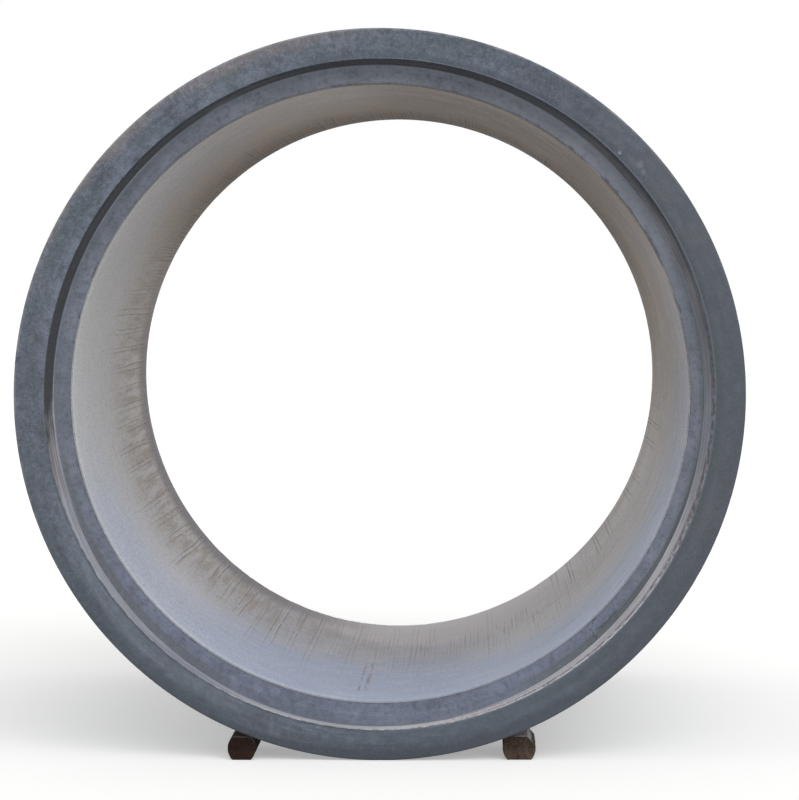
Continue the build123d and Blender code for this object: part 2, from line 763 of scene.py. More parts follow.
    def lip(self) -> list[Layer]:
        """Break the edge at the mouth, paint a highlight along it at the bottom and paint shade under it at
        the lower left.

        Returns:
            The layers, lowest first.
        """
        broken = self.inward.band(0.012, 0.002) * self.blotch.band(0.52, 0.6)
        # Painted highlight along the mouth's edge at the bottom.
        lit = self.inward.band(0.010, 0.004) * self.arc(290, 32, 9)
        # Painted shade: a dark line under the mouth's edge at the lower left.
        under = self.inward.band(0.012, 0.004) * self.arc(246, 46, 10) * self.blotch.band(0.36, 0.52)
        return [
            (broken * 0.6, srgb(84, 82, 84)),
            (lit * (1 - broken) * 0.5, self.lit),
            (under * 0.6, srgb(66, 72, 78)),
        ]


class ShoulderFinish(PipeFinish):
    """The flat shoulder at the groove's root: smooth, lavender grey, with faint turned lines."""

    name: str = "shoulder_concrete"
    body: Colour = srgb(120, 126, 139)
    pale: Colour = srgb(144, 151, 168)
    deep: Colour = srgb(80, 84, 92)

    def material(self) -> bpy.types.Material:
        """Build the finish.

        Returns:
            The material.
        """
        radius = self.radius
        cloud = self.spread(5, 4, 0.6)
        blotch = self.spread(22, 6, 0.66, 0.4)
        fleck = self.spread(85, 4, 0.7)
        grain = self.spread(280, 3, 0.7)
        lines = self.drawn(4, 0, 260, 2, 0.5)
        right = self.arc(335, 38, 15)
        bevel = radius.band(SIZES.shoulder - 0.0005, SIZES.shoulder + 0.0025)
        olive = radius.band(SIZES.shoulder - 0.008, SIZES.shoulder + 0.001)
        olive = olive * (self.arc(323, 19, 12) + self.arc(216, 22, 8))
        # Painted shade: a dark line in the root corner at the lower right.
        corner = radius.near(SIZES.shoulder, 0.0016) * self.arc(318, 26, 10)
        # Painted highlight: a light line along the bevel's outer part at the upper left, which faces down.
        rim = radius.band(0.9672, 0.9690) * self.arc(165, 32, 10)
        edge = radius.near(0.9195, 0.0022) * blotch.band(0.3, 0.5)
        chips = radius.band(0.9290, 0.9205) * blotch.band(0.52, 0.62)
        crack = self.crack()
        colour = self.layers(
            self.body,
            # Painted light: the upper right is lightened where the groove's wall shades the shoulder.
            (self.arc(50, 75, 30) * 0.6, srgb(148, 154, 165)),
            (self.arc(270, 55, 30) * 0.45, srgb(118, 128, 154)),
            (cloud.band(0.62, 0.36) * 0.3, self.deep),
            (blotch.band(0.5, 0.68) * 0.38, self.pale),
            (blotch.band(0.48, 0.32) * 0.42, self.deep),
            (fleck.band(0.49, 0.36) * 0.42, self.deep),
            (fleck.band(0.53, 0.66) * 0.22, self.pale),
            (lines.band(0.5, 0.72) * 0.16, self.deep),
            # Painted light at the upper right, where the groove's wall shades the shoulder.
            (self.arc(43, 17, 17) * 0.35, srgb(160, 163, 171)),
            (right * radius.band(0.942, 0.926) * 0.25, srgb(112, 116, 136)),
            (right * radius.band(0.938, 0.952) * 0.3, srgb(102, 108, 112)),
            (bevel * 0.22, self.deep),
            (olive * 0.5, srgb(90, 92, 89)),
            (corner * 0.25, srgb(60, 60, 64)),
            (rim * 0.5, srgb(172, 178, 190)),
            (edge * 0.45, srgb(66, 64, 68)),
            (chips * 0.55, srgb(58, 58, 64)),
            (crack * 0.6, srgb(48, 48, 54)),
            (self.spot(200.2, 0.948, 0.012) * 0.35, self.deep),
            (grain.band(0.5, 0.74) * 0.2, self.pale),
            (grain.band(0.48, 0.28) * 0.25, self.deep),
        )
        height = blotch * 0.0006 + fleck * 0.0005 + grain * 0.0005 + lines * 0.0003 - crack * 0.001
        return self.finish(colour, grain * 0.1 + 0.78, height)

    def crack(self) -> Value:
        """Add a hairline crack that wanders across the shoulder at the lower right, and back near it.

        Returns:
            A mask that is 1 in the crack.
        """
        wander = self.spread(45, 3, 0.6) - 0.5
        turn = self.bearing * (180 / math.pi)
        rise = self.radius - 0.935
        across = (turn + rise * 60 + 47.5 + wander * 5).size().band(0.13, 0.03)
        along = (self.radius - 0.951 + wander * 0.02).size().band(0.0016, 0.0005)
        second = (turn + rise * 40 + 42.2 + wander * 3).size().band(0.10, 0.03)
        return across + along * self.arc(315.2, 2.6, 0.6) + second * 0.6


class BoreFinish(PipeFinish):
    """The bore: steel-formed, pale below and brown above, with form marks towards the far end; the tones by
    bearing are partly its own and partly painted light and shade.
    """

    name: str = "bore_concrete"
    pale: Colour = srgb(196, 205, 225)
    cool: Colour = srgb(207, 218, 239)
    cream: Colour = srgb(182, 174, 166)
    shade: Colour = srgb(138, 125, 113)
    tint: Colour = srgb(226, 223, 221)
    brown: Colour = srgb(176, 158, 139)
    haze: Colour = srgb(234, 230, 234)
    streak: Colour = srgb(102, 90, 81)
    light: Colour = srgb(242, 241, 240)
    mark_pairs: int = 86

    def material(self) -> bpy.types.Material:
        """Build the finish.

        Returns:
            The material.
        """
        cloud = self.spread(2.2, 4, 0.6)
        blotch = self.spread(12, 5, 0.62)
        fleck = self.drawn(100, 14, 0, 4, 0.7)
        grain = self.drawn(190, 26, 0, 3, 0.75)
        reach = self.drawn(8, 0.6, 0, 4, 0.75)
        run = self.y + (reach - 0.5) * 0.7 + (blotch - 0.5) * 0.6 + self.arc(350, 45, 30) * 0.3
        far = run.band(-0.6, 0.62)
        # Painted light: the middle of the bore is lightened at the lower right and the left, where the
        # studio leaves it in shade.
        painted_mid_light = self.y.band(-0.9, 0.0) * self.y.band(1.1, 0.7)
        painted_mid_light = painted_mid_light * (self.arc(318, 24, 16) + self.arc(192, 36, 16) * 0.8)
        hazy = self.arc(285, 32, 12) * self.past_haze().band(-0.12, 0.13)
        plain = (1 - hazy * 0.7) * (1 - self.arc(285, 45, 25) * 0.4)
        paler = plain * (1 - self.arc(75, 70, 30) * 0.5)
        tan = self.drawn(30, 1.6, 0, 4, 0.7).band(0.40, 0.64) * self.y.band(-0.3, 0.8)
        dark, light = self.marks()
        rings = self.drawn(4, 16, 0, 4, 0.7)
        turned = self.arc(15, 60, 25) * 0.16 + 0.06
        holes = self.pits(self.point, 60, 0.12, 0.08)
        colour = self.layers(
            self.near_tone(),
            (far * 0.92, self.far_tone()),
            (cloud.band(0.42, 0.7) * 0.12, self.tint),
            (blotch.band(0.5, 0.7) * 0.14, self.light),
            (blotch.band(0.5, 0.3) * (far * 0.16 + 0.08), self.brown),
            (painted_mid_light * 0.7, self.light),
            (hazy * 0.85, self.haze),
            (fleck.band(0.50, 0.63) * (paler * 0.18), self.light),
            (fleck.band(0.50, 0.37) * (plain * (far * 0.2 + 0.10)), self.brown),
            (tan * self.arc(205, 48, 20) * 0.58, srgb(164, 144, 126)),
            *self.edge_tones(),
            # Painted shadow lines and painted highlights of the form marks' ridges.
            (dark * 0.62, self.streak),
            (light * 0.3, self.light),
            (self.tide() * 0.36, self.streak),
            (self.drips() * 0.95, srgb(38, 30, 24)),
            (self.rust() * 0.6, srgb(134, 104, 90)),
            (rings.band(0.52, 0.66) * turned, self.light),
            (rings.band(0.48, 0.34) * turned, self.shade),
            (grain.band(0.50, 0.64) * (paler * 0.25), self.light),
            (grain.band(0.50, 0.36) * (plain * 0.17), self.streak),
            (holes * 0.3, srgb(92, 88, 86)),
        )
        height = grain * 0.0003 + blotch * 0.0005 - dark * 0.0003 + light * 0.0003 - holes * 0.0007
        return self.finish(colour, grain * 0.12 + 0.7, height, 0.32)

    def near_tone(self) -> bpy.types.NodeSocket:
        """Mix the colour towards the groove end, by bearing: partly the concrete's own tone and partly
        painted light, bright and bluish below and at the lower left, and painted shade at the upper right.

        Returns:
            The colour's socket.
        """
        return self.layers(
            self.pale,
            (self.arc(165, 20, 25), srgb(221, 222, 223)),
            (self.arc(262, 22, 20) * 0.75, srgb(184, 197, 224)),
            (self.arc(325, 28, 20) * 0.8, self.cool),
            (self.arc(278, 34, 22) * 0.55, srgb(170, 184, 209)),
            (self.arc(72, 66, 45), self.cream),
            (self.arc(62, 14, 26) * 0.9, self.shade),
        )

    def far_tone(self) -> bpy.types.NodeSocket:
        """Mix the colour towards the tongue end, by bearing: partly the concrete's own tone and partly
        painted light and shade, pale below and brown and darker above.

        Returns:
            The colour's socket.
        """
        return self.layers(
            self.tint,
            (self.arc(265, 50, 30) * 0.8, srgb(206, 206, 215)),
            (self.arc(85, 75, 40), self.brown),
            (self.arc(60, 14, 26) * 0.75, self.shade),
        )

    def past_haze(self) -> Value:
        """How far a point lies behind the slanting line where the haze at the bottom starts."""
        return self.behind(0.37) - (1 - self.lean(293)) * 2.07

    def edge_tones(self) -> list[Layer]:
        """Tint both ends: brown far overhead, partly stain and partly painted shade; lavender grey at the
        far lower left; and painted shade on the near cut, a cool grey that is darkest overhead.

        Returns:
            The layers, lowest first.
        """
        y = self.y
        # The far overhead brown is partly stain and partly painted shade.
        overhead = self.arc(80, 75, 30) * 0.72 + self.arc(95, 42, 25) * 0.2
        # Painted shade on the near cut, where the chamfer would catch light.
        cut = y.band(-1.1530, -1.1545)
        rim = (y + self.arc(228, 30, 40) * 0.10).band(1.10, 1.17) * self.arc(208, 50, 15)
        return [
            (y.band(0.0, 1.20) * overhead, srgb(84, 62, 40)),
            (y.band(0.7, 1.2) * self.arc(345, 28, 12) * 0.25, srgb(150, 130, 108)),
            (y.band(-1.08, -1.15) * self.arc(200, 60, 20) * 0.3, self.light),
            (cut * 0.8, srgb(128, 130, 138)),
            (cut * self.arc(75, 75, 20) * 0.6, srgb(78, 76, 76)),
            (y.band(0.86, 1.15) * self.arc(206, 44, 18) * 0.85, srgb(134, 126, 127)),
            (rim * (self.arc(209, 20, 14) * 0.3 + 0.25), srgb(152, 150, 163)),
        ]

    def marks(self) -> tuple[Value, Value]:
        """Add the marks that the form leaves along the bore, in pairs at even distances, each a ridge drawn
        with a painted shadow line and a painted highlight beside it.

        Returns:
            The painted shadow lines and the painted highlights beside them.
        """
        wander = (self.drawn(14, 0.5, 0, 2) - 0.5) * 0.5
        turn = self.bearing * (self.mark_pairs / math.tau) + wander
        phase = turn.maths("FRACT", turn)
        pair = turn.maths("FLOOR", turn)
        own = self.node("ShaderNodeTexWhiteNoise", {"noise_dimensions": "1D"}, {"W": pair})
        drawn = self.node("ShaderNodeSeparateColor", inputs={0: own.outputs["Color"]})
        late, bold = Value(self, drawn.outputs[0]), Value(self, drawn.outputs[1])
        left, right = self.arc(205, 55, 20), self.arc(332, 28, 10)
        start = self.y - late * 0.5 - (1 - left) * 0.45 + self.arc(250, 12, 10) * 0.5
        shown = start.band(-0.50, 0.30) * self.y.band(1.17, 1.08).larger(right)
        worn = self.drawn(20, 6, 0, 3, 0.7).band(0.32, 0.5)
        shared = (left * 0.9).larger(right).larger(self.arc(270, 20, 10) * 0.35) + 0.06
        strength = shown * worn * (bold.band(0.1, 0.8) * 0.6 + 0.4) * shared
        gap = late * 0.06
        dark = phase.near(0.40 - gap, 0.04) + phase.near(0.60 + gap, 0.04) * bold.band(0.0, 0.5)
        light = phase.near(0.35 - gap, 0.04) + phase.near(0.55 + gap, 0.04)
        return dark * strength, light * strength

    def tide(self) -> Value:
        """Add fine dark lines and dots in front of the haze, which fade towards the groove end.

        Returns:
            A mask that is 1 on them.
        """
        past = self.past_haze()
        broken = self.drawn(22, 1.3, 0, 3, 0.7).band(0.4, 0.62)
        lines = self.comb(430, 24) * past.band(-1.2, -0.1) * past.band(0.45, 0.0) * broken
        dots = self.drawn(120, 14, 0, 3, 0.7).band(0.54, 0.64) * past.near(-0.35, 0.45)
        return (lines + dots * 0.2) * self.arc(286, 26, 14)

    def drips(self) -> Value:
        """Add fine dark lines that taper away from the far edge, overhead.

        Returns:
            A mask that is 1 on them.
        """
        late = self.drawn(9, 0, 0, 4, 0.8)
        reach = (self.y + (late - 0.5) * 2.4).band(0.45, 1.1)
        own = self.drawn(60, 0, 0, 2).band(0.36, 0.55)
        return self.comb(460, 22) * own * reach * self.arc(93, 58, 20)

    def comb(self, count: int, wander: float) -> Value:
        """Thin lines along the bore, this many in a turn, at distances that wander this much."""
        drift = self.drawn(14, 0.15, 0, 3, 0.6) * wander
        return (self.bearing * count + drift).sine().band(0.35, 0.95)

    def rust(self) -> Value:
        """Add a pair of faint rust streaks near the bottom.

        Returns:
            A mask that is 1 on them.
        """
        pair = self.bearing.near(math.radians(-93.3), 0.009) + self.bearing.near(math.radians(-94.6), 0.006)
        length = self.y.band(-1.0, -0.8) * self.y.band(0.0, -0.2)
        return pair * length * self.drawn(60, 5, 0).band(0.4, 0.6)


class BarrelFinish(PipeFinish):
    """The barrel: cool grey, finely pitted, with faint form marks along and round it."""

    name: str = "barrel_concrete"
    body: Colour = srgb(130, 134, 142)
    pale: Colour = srgb(162, 166, 174)
    deep: Colour = srgb(94, 100, 112)

    def material(self) -> bpy.types.Material:
        """Build the finish.

        Returns:
            The material.
        """
        cloud = self.spread(1.8, 5, 0.6)
        blotch = self.spread(11, 5, 0.65)
        fleck = self.spread(55, 4, 0.7)
        grain = self.spread(210, 3, 0.75)
        lines = self.drawn(70, 1.5, 0, 4, 0.65)
        rings = self.drawn(1.5, 26, 0, 3, 0.6)
        holes = self.pits(self.point, 34, 0.17, 0.16) + self.pits(self.point, 90, 0.2, 0.2) * 0.7
        foot = self.lean(270).band(0.8, 0.97) * blotch.band(0.3, 0.55)
        colour = self.layers(
            self.body,
            (cloud.band(0.66, 0.36) * 0.35, self.deep),
            (cloud.band(0.5, 0.7) * 0.25, self.pale),
            (blotch.band(0.5, 0.68) * 0.3, self.pale),
            (blotch.band(0.48, 0.30) * 0.32, self.deep),
            (lines.band(0.5, 0.66) * 0.32, self.deep),
            (rings.band(0.54, 0.70) * 0.2, self.pale),
            (fleck.band(0.51, 0.66) * 0.22, self.pale),
            (fleck.band(0.49, 0.34) * 0.24, self.deep),
            (holes * 0.75, srgb(52, 54, 60)),
            (grain.band(0.5, 0.7) * 0.26, self.pale),
            (grain.band(0.48, 0.30) * 0.3, self.deep),
            (foot * 0.35, srgb(104, 98, 92)),
        )
        height = grain * 0.0006 + blotch * 0.0008 + lines * 0.0006 - holes * 0.0024
        return self.finish(colour, grain * 0.1 + 0.82, height)


class TongueFinish(PipeFinish):
    """The tongue end: rough speckled rings, dark in the corner where the tongue starts."""

    name: str = "tongue_concrete"
    body: Colour = srgb(104, 107, 116)
    pale: Colour = srgb(140, 144, 156)
    deep: Colour = srgb(66, 67, 73)

    def material(self) -> bpy.types.Material:
        """Build the finish.

        Returns:
            The material.
        """
        cloud = self.spread(4, 4, 0.6)
        blotch = self.spread(34, 5, 0.7)
        grain = self.spread(190, 4, 0.8)
        holes = self.pits(self.point, 60, 0.26, 0.35)
        base = SIZES.tongue_base
        corner = self.radius.near(base, 0.011) * self.behind(SIZES.back).band(0.03, 0.004)
        colour = self.layers(
            self.body,
            (self.radius.band(base + 0.002, base - 0.003) * 0.55, self.deep),
            (cloud.band(0.62, 0.36) * 0.35, self.deep),
            (blotch.band(0.5, 0.66) * 0.5, self.pale),
            (blotch.band(0.48, 0.32) * 0.55, self.deep),
            (grain.band(0.52, 0.66) * 0.55, self.pale),
            (grain.band(0.48, 0.34) * 0.55, self.deep),
            (corner * 0.8, srgb(74, 52, 46)),
            (self.radius.band(0.924, 0.918) * 0.45, self.pale),
            (holes * 0.5, srgb(46, 46, 50)),
        )
        height = grain * 0.0018 + blotch * 0.0022 - holes * 0.0018
        return self.finish(colour, grain * 0.1 + 0.84, height)


# The pipe


class Region(Enum):
    """Which finish a face of the pipe takes. The values are the places of its material slots."""

    RIM = 0
    GROOVE = 1
    SHOULDER = 2
    BORE = 3
    BARREL = 4
    TONGUE = 5


@dataclass(frozen=True)
class Corner:
    """A corner of the pipe's half section, which may be cut off or rounded in steps."""

    y: float
    radius: float
    cut: float = 0.0
    steps: int = 1


@dataclass(frozen=True)
class WornEdge:
    """An edge of the casting: where it is, how far in it is worn, how deeply and in what grain."""

    name: str
    y: float
    radius: float
    reach: float
    depth: float
    grain: float
    start: float
    full: float


@dataclass
class PipeCasting:
    """The pipe, cast in one pour: its half section is drawn as a line and spun round the axis."""

    name: str = "concrete_pipe"
    turns: int = 1150
    outer_rounding: float = 0.006
    mouth_cut: float = 0.004
    bore_cut: float = 0.004
    root_cut: float = 0.005
    front_cuts: tuple[float, ...] = (0.010, 0.016, 0.025, 0.045, 0.075)
    back_cuts: tuple[float, ...] = (0.010, 0.025, 0.060)
    tongue_cuts: tuple[float, ...] = (0.012, 0.040, 0.075)
    barrel_spacing: float = 0.27
    barrel_start: float = 0.2
    barrel_rest: float = 0.12
    face_radii: tuple[float, ...] = (0.924, 0.938, 0.948, 0.990, 0.995, 1.003, 1.020, 1.040, 1.055, 1.063)
    unround_from: float = 0.006
    groove_narrower: float = 0.0060
    groove_taller: float = 0.0078
    groove_shift: Triple = (-0.0058, 0, -0.0060)
    face_depth: float = 0.0045
    shoulder_slack: float = 0.0003
    bore_slack: float = 0.0005
    hair: float = 1e-4
    smooth_below: float = 32

    def corners(self) -> list[Corner]:
        """List the half section's corners.

        Returns:
            The corners, from the rim's outer edge back along the barrel.
        """
        s = SIZES
        return [
            Corner(s.groove_end, s.outer, self.outer_rounding, 4),
            Corner(s.back, s.outer, self.outer_rounding, 4),
            Corner(s.back, s.tongue_base, self.root_cut, 2),
            Corner(s.tongue_end - s.bevel_depth, s.tongue_bevel),
            Corner(s.tongue_end, s.tongue_tip),
            Corner(s.tongue_end, s.bore, self.bore_cut, 2),
            Corner(s.inward(s.groove_depth), s.bore, self.bore_cut, 2),
            Corner(s.inward(s.groove_depth), s.shoulder),
            Corner(s.inward(s.groove_depth - s.bevel_depth), s.root),
            Corner(s.groove_end, s.mouth, self.mouth_cut, 2),
        ]

    def build(self) -> bpy.types.Object:
        """Model and dress the pipe.

        Returns:
            The finished object.
        """
        shape = self.section()
        self.cut_section(shape)
        self.spin(shape)
        self.unround_groove(shape)
        self.wear_edges(shape)
        self.dress(shape)
        shape.smooth(self.smooth_below)
        return shape.thing

    def section(self) -> Shape:
        """Draw the half section as a closed face, above the axis.

        Returns:
            The face.
        """
        corners = self.corners()
        spots = [Vector((0, corner.y, SIZES.axis_height + corner.radius)) for corner in corners]
        start_fresh()
        bpy.ops.mesh.primitive_plane_add(size=0.01, location=spots[0])
        shape = Shape(self.name)
        shape.settle()
        with shape.editing():
            bpy.ops.mesh.merge(type="CENTER")
            for here, there in zip(spots, spots[1:]):
                bpy.ops.mesh.extrude_vertices_move(TRANSFORM_OT_translate={"value": there - here})
            bpy.ops.mesh.select_all(action="SELECT")
            bpy.ops.mesh.edge_face_add()
        for corner, spot in zip(corners, spots):
            if corner.cut:
                with shape.editing(self.at(spot)):
                    bpy.ops.mesh.bevel(offset=corner.cut, segments=corner.steps, affect="VERTICES")
        return shape

    def at(self, spot: Vector) -> Choice:
        """Choose the vertex at this spot."""
        return lambda places: np.linalg.norm(places - np.array(spot), axis=1) < self.hair

    def cut_section(self, shape: Shape) -> None:
        """Leave the section's outline, and divide it more finely near its edges.

        Args:
            shape: The section.
        """
        s = SIZES
        with shape.editing():
            bpy.ops.mesh.delete(type="ONLY_FACE")
        plain = s.laying_length - self.barrel_start - self.barrel_rest
        pieces = round(plain / self.barrel_spacing)
        stations = [s.inward(cut) for cut in self.front_cuts]
        stations += [s.back - cut for cut in self.back_cuts]
        stations += [s.back + cut for cut in self.tongue_cuts]
        stations += [s.inward(self.barrel_start + i * plain / pieces) for i in range(pieces + 1)]
        for y in stations:
            shape.cut((0, y, 0), (0, 1, 0))
        for radius in self.face_radii:
            shape.cut((0, 0, s.axis_height + radius), (0, 0, 1))

    def spin(self, shape: Shape) -> None:
        """Turn the outline once round the axis and close it.

        Args:
            shape: The outline.
        """
        bpy.context.scene.cursor.location = (0, 0, SIZES.axis_height)
        bpy.ops.object.origin_set(type="ORIGIN_CURSOR")
        shape.modify(
            "SCREW", axis="Y", angle=math.tau, steps=self.turns, render_steps=self.turns,
            use_merge_vertices=True,
        )
        shape.settle()
        with shape.editing():
            bpy.ops.mesh.remove_doubles(threshold=1e-5)
            bpy.ops.mesh.normals_make_consistent(inside=False)

    def unround_groove(self, shape: Shape) -> None:
        """Press the groove's wall a little out of round, more the deeper it lies.

        Args:
            shape: The pipe.
        """
        s = SIZES
        depths = np.unique(np.round(self.wall_depths(shape.places()), 5))
        for depth in depths[depths > self.unround_from]:
            share = depth / (s.groove_depth - s.bevel_depth)
            with shape.editing(self.ring(depth)):
                bpy.ops.transform.resize(
                    value=(1 - self.groove_narrower * share, 1, 1 + self.groove_taller * share),
                    center_override=(0, s.inward(depth), s.axis_height),
                )
                bpy.ops.transform.translate(value=[shift * share for shift in self.groove_shift])

    def ring(self, depth: float) -> Choice:
        """Choose the ring of the groove's wall that lies this deep."""
        return lambda places: np.abs(self.wall_depths(places) - depth) < self.hair / 5

    def wall_depths(self, places: np.ndarray) -> np.ndarray:
        """Measure the groove's wall.

        Args:
            places: The vertices' places.

        Returns:
            How deep each vertex of the wall lies, and 0 for all others.
        """
        s = SIZES
        depth, radius = self.polar(places)
        on_wall = (depth > self.hair) & (depth < s.groove_depth - self.hair)
        return np.where(on_wall & (radius > s.shoulder) & (radius < s.past_mouth), depth, 0.0)

    def polar(self, places: np.ndarray) -> tuple[np.ndarray, np.ndarray]:
        """How far places lie behind the groove end's face, and how far from the axis."""
        return places[:, 1] - SIZES.groove_end, np.hypot(places[:, 0], places[:, 2] - SIZES.axis_height)

    def wear_edges(self, shape: Shape) -> None:
        """Chip and dull the casting's edges.

        Args:
            shape: The pipe.
        """
        s = SIZES
        places = shape.places()
        across, y, height = places[:, 0], places[:, 1], places[:, 2] - s.axis_height
        radius = np.hypot(across, height)
        mostly_low = np.clip(0.5 - height, 0.25, 1)
        lower_left = np.clip(-2.2 - height * 3.4 + np.clip(-across, 0, 0.5), 0.2, 1)
        edges = (
            (WornEdge("rim_edge", s.groove_end, s.outer, 0.012, 0.0014, 0.024, 0.64, 0.80), 1),
            (WornEdge("mouth_edge", s.groove_end, s.mouth, 0.010, 0.0012, 0.014, 0.54, 0.68), mostly_low),
            (WornEdge("back_edge", s.back, s.outer, 0.018, 0.0035, 0.026, 0.50, 0.74), 1),
            (WornEdge("tongue_edge", s.tongue_end, s.tongue_tip, 0.018, 0.0038, 0.020, 0.48, 0.70), 1),
            (WornEdge("bore_edge", s.tongue_end, s.bore, 0.014, 0.0024, 0.034, 0.50, 0.72), lower_left),
        )
        for edge, share in edges:
            away = np.hypot(y - edge.y, radius - edge.radius)
            group = shape.weigh(edge.name, (1 - away / edge.reach) * share)
            shape.wear(group, edge.depth, edge.grain, edge.start, edge.full)
        shape.thing.vertex_groups.clear()

    def dress(self, shape: Shape) -> None:
        """Give each region of the casting its finish.

        Args:
            shape: The pipe.
        """
        for finish in (RimFinish, GrooveFinish, ShoulderFinish, BoreFinish, BarrelFinish, TongueFinish):
            shape.thing.data.materials.append(finish().material())
        faces = shape.thing.data.polygons
        centres = np.empty(len(faces) * 3)
        faces.foreach_get("center", centres)
        faces.foreach_set("material_index", self.regions(centres.reshape(-1, 3)))

    def regions(self, centres: np.ndarray) -> np.ndarray:
        """Find each face's region from its place.

        Args:
            centres: The faces' centres.

        Returns:
            The regions' numbers.
        """
        s = SIZES
        depth, radius = self.polar(centres)
        number = np.full(len(centres), Region.BARREL.value)
        number[radius < s.shoulder] = Region.BORE.value
        inside = (depth < s.groove_depth + self.shoulder_slack) & (radius < s.past_mouth)
        number[inside] = Region.SHOULDER.value
        on_wall = inside & (radius > s.shoulder) & (depth < s.groove_depth - s.bevel_depth)
        number[on_wall] = Region.GROOVE.value
        number[(depth < self.face_depth) & (radius > s.past_mouth)] = Region.RIM.value
        behind = depth > s.laying_length - self.face_depth
        number[behind & (radius > s.bore + self.bore_slack)] = Region.TONGUE.value
        return number


# Timber


class Side(Enum):
    """Which side of the pipe a chock lies on."""

    LEFT = "left_chock"
    RIGHT = "right_chock"


@dataclass(frozen=True)
class TimberFinish:
    """Old round timber, sawn flat above and below."""

    name: str
    body: Colour
    pale: Colour
    deep: Colour
    silver_and_painted_light: Colour
    heart: tuple[float, float]

    def grain(self) -> bpy.types.Material:
        """Finish the long faces, with the grain along Y. The top takes a colour of its own, weathered silver
        with painted light and shade in it: lightened on one chock, darkened on the other.

        Returns:
            The material.
        """
        graph = Graph.of_material(self.name + "_long_grain")
        point, long = graph.coordinates(), graph.coordinates(stretch=(1.0, 0.06, 1.0))
        height = graph.parts(point)[2]
        fibre = graph.noise(long, 260, 4, 0.7)
        streak = graph.noise(long, 70, 4, 0.6, 0.6)
        stain = graph.noise(point, 14, 4, 0.6)
        check = graph.noise(long, 120, 3, 0.6).band(0.62, 0.68)
        # The top's colour: weathered silver with painted light and shade in it.
        silver_and_painted_light = height.band(0.048, 0.060) * (stain.band(0.25, 0.5) * 0.4 + 0.6)
        colour = graph.layers(
            self.deep,
            (streak.band(0.35, 0.65), self.body),
            (fibre.band(0.5, 0.7) * 0.4, self.pale),
            (silver_and_painted_light * 0.85, self.silver_and_painted_light),
            (stain.band(0.5, 0.3) * 0.4, self.deep),
            (check * 0.8, srgb(24, 18, 15)),
        )
        relief = fibre * 0.0006 + streak * 0.0008 - check * 0.0012
        return graph.finish(colour, fibre * 0.1 + 0.8, relief, 0.2)

    def end(self) -> bpy.types.Material:
        """Finish the sawn ends: growth rings round the heart, crossed by drying checks.

        Returns:
            The material.
        """
        graph = Graph.of_material(self.name + "_end_grain")
        heart_x, heart_z = self.heart
        centred = graph.coordinates(shift=(-heart_x, 0.0, -heart_z))
        x, _, z = graph.parts(centred)
        height = graph.parts(graph.coordinates())[2]
        out = (x * x + z * z) ** 0.5
        rings = (out * 1500 + graph.noise(centred, 30, 3) * 7).sine() * 0.5 + 0.5
        stain = graph.noise(centred, 26, 4, 0.65)
        fibre = graph.noise(centred, 260, 3, 0.7)
        rays = graph.noise(graph.vector(x / out * 9, out * 12, z / out * 9), 1.0, 3, 0.6)
        check = rays.band(0.63, 0.67) * out.band(0.004, 0.014)
        colour = graph.layers(
            self.body,
            (rings * 0.4, self.deep),
            (stain.band(0.48, 0.7) * 0.5, self.pale),
            # Painted shade on the upper part of the end, which lies under the pipe, and painted light on its
            # lower part, more at the lower right on the right chock.
            (height.band(0.02, 0.055) * 0.5, self.deep),
            (height.band(0.038, 0.012) * 0.3, self.pale),
            (height.band(0.05, 0.01) * x.band(-0.01, 0.04) * 0.35, self.pale),
            (fibre.band(0.5, 0.66) * 0.4, self.pale),
            (fibre.band(0.5, 0.34) * 0.55, self.deep),
            (check * 0.85, srgb(18, 13, 11)),
        )
        relief = rings * 0.0004 + fibre * 0.0006 - check * 0.0012
        return graph.finish(colour, fibre * 0.1 + 0.84, relief, 0.15)


